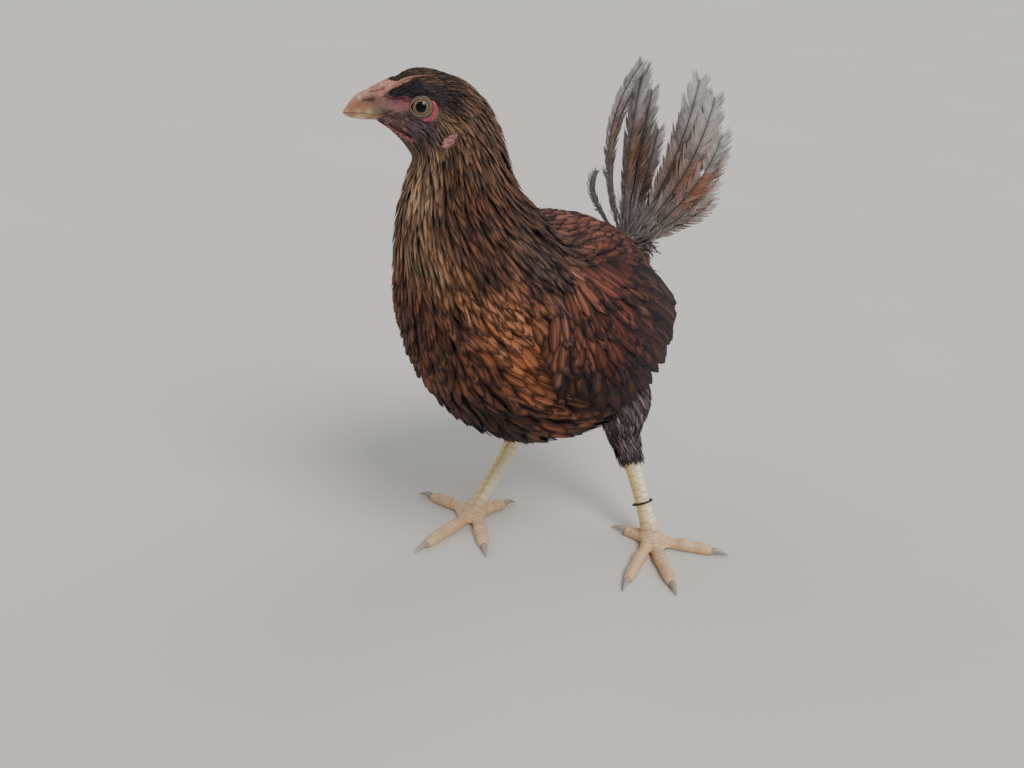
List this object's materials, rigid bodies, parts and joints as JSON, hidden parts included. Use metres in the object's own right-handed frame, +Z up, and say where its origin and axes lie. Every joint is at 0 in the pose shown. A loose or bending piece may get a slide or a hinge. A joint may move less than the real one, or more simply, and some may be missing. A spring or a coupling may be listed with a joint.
{
  "type": "young wyandotte hen",
  "caption": "Life-size still model of a young laced hen standing alert on both feet, head turned to its right and tail fanned up.",
  "frame": {"origin": "on the floor, under the middle of the hen's box", "axes": "+Z up, the body faces -Y, the hen's left side is +X"},
  "size_m": [0.1876, 0.2606, 0.2949],
  "materials": {
    "plumage": "matt feather vanes, red-brown laced with blue-black",
    "slate": "matt slate-grey feathers and down",
    "face": "soft matt skin",
    "comb": "soft waxy skin",
    "beak": "smooth horn with a low sheen",
    "eye": "wet gloss",
    "leg": "scaled skin with a low sheen",
    "claw": "smooth horn",
    "band": "matt black band"
  },
  "bodies": {
    "root": {"beak_lower": "beak", "beak_upper": "beak", "claw_left_hind": "claw", "claw_left_inner": "claw", "claw_left_middle": "claw", "claw_left_outer": "claw", "claw_right_hind": "claw", "claw_right_inner": "claw", "claw_right_middle": "claw", "claw_right_outer": "claw", "comb": "comb", "ear_lobe_left": "face", "ear_lobe_right": "face", "eye_left": "eye", "eye_right": "eye", "foot_left": "leg", "foot_right": "leg", "head": "plumage", "leg_band": "band", "neck": "plumage", "shank_left": "leg", "shank_right": "leg", "tail": "slate", "thigh_left": "slate", "thigh_right": "slate", "toe_left_hind": "leg", "toe_left_inner": "leg", "toe_left_middle": "leg", "toe_left_outer": "leg", "toe_right_hind": "leg", "toe_right_inner": "leg", "toe_right_middle": "leg", "toe_right_outer": "leg", "torso": "plumage", "wattle_left": "comb", "wattle_right": "comb", "wing_left": "plumage", "wing_right": "plumage"}
  },
  "joints": []
}
